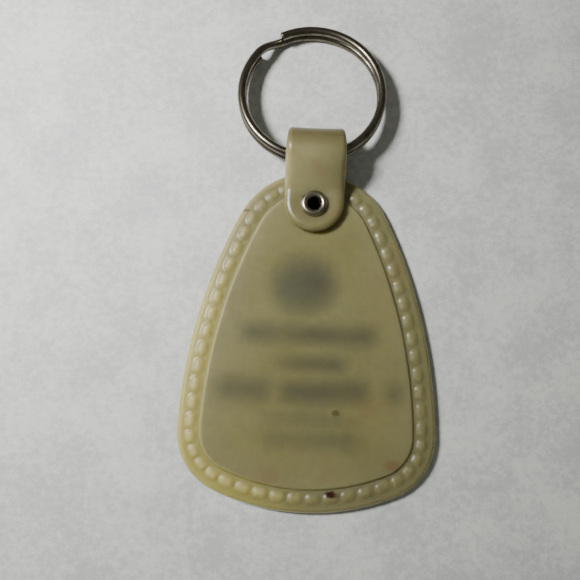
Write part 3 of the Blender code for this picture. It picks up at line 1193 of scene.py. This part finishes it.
def make_vinyl():
    """The finish of the whole moulding."""
    material, wire = start_material("aged_vinyl")
    place = place_in_mm(wire)
    x, y, z = split_place(place)
    depth = stored(wire, "depth")
    bead = stored(wire, "bead")
    edge = stored(wire, "edge")
    cloud = grain(wire, place, *CLOUD)
    mottle = grain(wire, place, *MOTTLE)
    fine = grain(wire, place, *FINE)
    warp = (cloud - 0.5) * WANDER
    on_strap = edge.rise(*ON_STRAP)
    colour = plate_tint(wire, x, y, warp)
    colour = blend_colour(on_strap, colour, strap_tint(x, y, warp))
    tone = TONE + CLOUD_TONE * cloud + MOTTLE_TONE * mottle
    colour = wire.node("VectorMath", {"operation": "SCALE"}, {0: colour, "Scale": tone})
    colour = add_print(wire, colour, x, y, z, fine)
    colour = add_stains(wire, colour, x, y, cloud)
    dull = span(depth, *PANEL_FOOT_SPAN).most(depth.rise(*RIM) * (1 - on_strap))
    chafed = bead.rise(*ON_BEAD) * (x + warp).rise(*CHAFED_ACROSS)
    roughness = MATT + MATT_MOTTLE * mottle + MATT_FINE * fine - BEAD_POLISH * bead
    roughness = roughness + MATT_CORNERS * dull + MATT_CHAFED * chafed
    relief = fine * FINE_RELIEF + mottle * (1 + BAND_RELIEF * depth.rise(*ON_BAND))
    finish_material(
        wire, colour, roughness, relief, RELIEF_DEPTH,
        ior=VINYL_IOR, subsurface_weight=1.0, subsurface_scale=SCATTER_REACH,
        subsurface_radius=SCATTER_BY_COLOUR,
    )
    return material


vinyl = make_vinyl()
moulding.data.materials.clear()
moulding.data.materials.append(vinyl)
print("vinyl:", len(vinyl.node_tree.nodes), "nodes")

# %% [markdown]
# ## Lines left by the making
#
# A wire drawn through a die has fine lines along it, and a tube rolled by a spinning punch has
# lines round it. Both are plain noise on a stretched place: in a direction in which the place
# barely changes, the noise runs out into lines.

# %% Directions of the scratches
ALONG_WIRE = (0.12, 1.0, 1.0)
ROUND_RIVET = 0.1


def from_rivet_axis(x, y):
    """Distance from the rivet's axis in mm."""
    return (x * x + (y - RIVET_Y / MM) ** 2) ** 0.5


def along_wire(wire):
    """Stretches patterns along the wire, so that they become drawing lines."""
    stored_place = wire.node("Attribute", {"attribute_name": "wire_place"}, {}, out="Vector")
    squeeze = {0: stored_place, 1: ALONG_WIRE}
    return wire.node("VectorMath", {"operation": "MULTIPLY"}, squeeze)


def round_rivet(wire):
    """Stretches patterns round the rivet: they barely change as one goes round its axis."""
    x, y, z = split_place(place_in_mm(wire))
    around = wire.sum("ARCTAN2", y - RIVET_Y / MM, x)
    sockets = {"X": from_rivet_axis(x, y), "Y": z, "Z": around * ROUND_RIVET}
    return wire.node("CombineXYZ", {}, sockets)


print("scratches run along the wire and round the rivet")

# %% [markdown]
# ## Worn nickel
#
# Thin nickel plating on steel stays bright where keys and fingers rub it and goes brown in
# between. Wire and rivet share the recipe: a mirror-like metal, dulled by fine scratches that
# follow how each piece was made, under patches of brown tarnish. Inside the rivet's bore the
# colour is painted black, as painted shade.

# %% The nickel recipe
RING_NICKEL = (0.205, 0.185, 0.148)
RIVET_NICKEL = (0.47, 0.43, 0.32)
RING_LINES = 4.0
RIVET_LINES = 9.0
RING_MATT = 0.15
RIVET_MATT = 0.16
BROWN_NICKEL = (0.075, 0.064, 0.046)
BORE_SHADE_COLOUR = (0.006, 0.005, 0.004)
BORE_RADIUS = 1.12
SCRATCH_DEPTH = 0.006 * MM
BORE_EDGE = 0.12
LINE_DETAIL = (3.0, 0.65)
TARNISH_PATCHES = (0.55, 4.0, 0.6)
TARNISH_SPECKS = (9.0, 3.0, 0.7)
TARNISHED = (0.48, 0.78)
PATCH_SHARE = 0.8
SPECK_SHARE = 0.35
MATT_LINES = 0.18
MATT_TARNISH = 0.16
MATT_BORE = 0.4
SPECK_RELIEF = 0.25


def make_nickel(name, bright, lines_place, lines_scale, matt, bore=0.0):
    """Nickel whose scratches run where lines_place changes slowly, painted black as shade inside
    radius bore.
    """
    material, wire = start_material(name)
    place = place_in_mm(wire)
    lines = grain(wire, lines_place(wire), lines_scale, *LINE_DETAIL)
    patches = grain(wire, place, *TARNISH_PATCHES)
    specks = grain(wire, place, *TARNISH_SPECKS)
    tarnish = (patches * PATCH_SHARE + specks * SPECK_SHARE).rise(*TARNISHED)
    colour = blend_colour(tarnish, bright, BROWN_NICKEL)
    roughness = matt + MATT_LINES * lines + MATT_TARNISH * tarnish
    if bore:
        x, y, _ = split_place(place)
        # Painted shade: the bore is made black for the dark inside of the hole
        inside = from_rivet_axis(x, y).rise(bore, bore - BORE_EDGE)
        colour = blend_colour(inside, colour, BORE_SHADE_COLOUR)
        roughness = roughness + inside * MATT_BORE
    relief = lines + specks * SPECK_RELIEF
    finish_material(wire, colour, roughness, relief, SCRATCH_DEPTH, metallic=1.0)
    return material


ring_finish = make_nickel("ring_nickel", RING_NICKEL, along_wire, RING_LINES, RING_MATT)
rivet_finish = make_nickel(
    "rivet_nickel", RIVET_NICKEL, round_rivet, RIVET_LINES, RIVET_MATT, BORE_RADIUS
)
ring.data.materials.append(ring_finish)
rivet.data.materials.append(rivet_finish)
print("nickel:", len(rivet_finish.node_tree.nodes), "nodes on the rivet")

# %% [markdown]
# ## Fitting the pieces to the model
#
# Each new piece moves with a CAD body and takes the place of a CAD node, which is hidden.

# %% Riding and replacing
for piece, body, node, finish in (
    (moulding, "tag", "vinyl_tag", "aged_vinyl"),
    (rivet, "tag", "rivet", "rivet_nickel"),
    (ring, "ring", "split_ring", "ring_nickel"),
):
    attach(piece, body)
    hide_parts(node)
    print(piece.name, "moves with", body)

# %% [markdown]
# ## The pale card underneath
#
# A plain sheet of off-white card fills the picture. It has the slight cloudiness of real paper
# and a fine tooth that breaks up the light.

# %% The card
CARD_SIZE = 0.9
CARD_GAP = 0.01 * MM
CARD_SHADE = (0.585, 0.617, 0.61)
CARD_COLOUR = (0.79, 0.802, 0.775)
TOOTH_DEPTH = 0.03 * MM
CARD_CLOUD = (0.09, 4.0, 0.6)
CARD_MOTTLE = (0.8, 5.0, 0.65)
CARD_TOOTH = (2.2, 4.0, 0.65)
CARD_SHADED = (0.41, 0.59)
CARD_GLOSS = 0.3
CLOUD_SHARE = 0.4
MOTTLE_SHARE = 0.4
TOOTH_SHARE = 0.2
CARD_MATT = 0.6
CARD_MATT_TOOTH = 0.2


def make_card():
    """A flat sheet just under the fob, so that the two never share a surface."""
    half = CARD_SIZE / 2
    corners = [(-half, -half, 0), (half, -half, 0), (half, half, 0), (-half, half, 0)]
    mesh = bpy.data.meshes.new("card")
    mesh.from_pydata(corners, [], [(0, 1, 2, 3)])
    card = bpy.data.objects.new("card", mesh)
    bpy.context.scene.collection.objects.link(card)
    card.location.z = -CARD_GAP
    return card


def make_paper():
    """Off-white paper, cloudy at three sizes."""
    material, wire = start_material("paper")
    place = place_in_mm(wire)
    cloud = grain(wire, place, *CARD_CLOUD)
    tooth = grain(wire, place, *CARD_TOOTH)
    mottle = grain(wire, place, *CARD_MOTTLE)
    clouds = cloud * CLOUD_SHARE + mottle * MOTTLE_SHARE + tooth * TOOTH_SHARE
    shade = clouds.rise(*CARD_SHADED)
    colour = blend_colour(shade, CARD_SHADE, CARD_COLOUR)
    roughness = CARD_MATT + CARD_MATT_TOOTH * tooth
    finish_material(wire, colour, roughness, tooth, TOOTH_DEPTH, specular_ior_level=CARD_GLOSS)
    return material


card = make_card()
card.data.materials.append(make_paper())
print("card:", CARD_SIZE, "m wide")

# %% [markdown]
# ## Light
#
# One soft lamp stands above and to the left, a little beyond the fob. It points to the left of
# the fob, so its light falls off towards the lower right. An even grey world fills the shadows.

# %% Lamp and world
LAMP_AZIMUTH = math.radians(163)
LAMP_HEIGHT = math.radians(50)
LAMP_DISTANCE = 0.23
LAMP_SPREAD = math.radians(92)
LAMP_AIM = Vector((-52.0, 26.0, 0.0)) * MM
LAMP_SIZE = 0.05
LAMP_POWER = 0.232
LAMP_COLOUR = (1.0, 0.985, 0.96)
WORLD_GREY = (0.13, 0.132, 0.114)


def make_lamp():
    """A square soft lamp."""
    data = bpy.data.lights.new("lamp", "AREA")
    data.size = LAMP_SIZE
    data.energy = LAMP_POWER
    data.spread = LAMP_SPREAD
    data.color = LAMP_COLOUR
    lamp = bpy.data.objects.new("lamp", data)
    flat = math.cos(LAMP_HEIGHT)
    east = flat * math.cos(LAMP_AZIMUTH)
    north = flat * math.sin(LAMP_AZIMUTH)
    lamp.location = Vector((east, north, math.sin(LAMP_HEIGHT))) * LAMP_DISTANCE
    lamp.rotation_euler = (lamp.location - LAMP_AIM).to_track_quat("Z", "Y").to_euler()
    bpy.context.scene.collection.objects.link(lamp)
    return lamp


lamp = make_lamp()
world = bpy.data.worlds.new("room")
world.use_nodes = True
world.node_tree.nodes["Background"].inputs["Color"].default_value = (*WORLD_GREY, 1)
bpy.context.scene.world = world
print("lamp at", [round(value, 3) for value in lamp.location])

# %% [markdown]
# ## Camera
#
# The camera looks almost straight down at the fob, tipped and turned by a few degrees.

# %% Camera
LENS_MM = 40.34
SENSOR_MM = 36
NEAREST = 0.005
CAMERA_AIM = Vector((-3.43, -5.05, 0.0)) * MM
CAMERA_DISTANCE = 108.18 * MM
CAMERA_TURNS = ((7.77, "X"), (0.46, "Y"), (2.19, "Z"))


def make_camera():
    """The scene's camera, at its distance from the point that it looks at."""
    data = bpy.data.cameras.new("camera")
    data.lens = LENS_MM
    data.sensor_width = SENSOR_MM
    data.clip_start = NEAREST
    turn = Matrix.Identity(4)
    for degrees, axis in CAMERA_TURNS:
        turn @= Matrix.Rotation(math.radians(degrees), 4, axis)
    camera = bpy.data.objects.new("camera", data)
    away = turn.to_3x3() @ Vector((0, 0, CAMERA_DISTANCE))
    camera.matrix_world = Matrix.Translation(CAMERA_AIM + away) @ turn
    bpy.context.scene.collection.objects.link(camera)
    bpy.context.scene.camera = camera
    return camera


camera = make_camera()
print("camera at", [round(value, 3) for value in camera.matrix_world.translation])
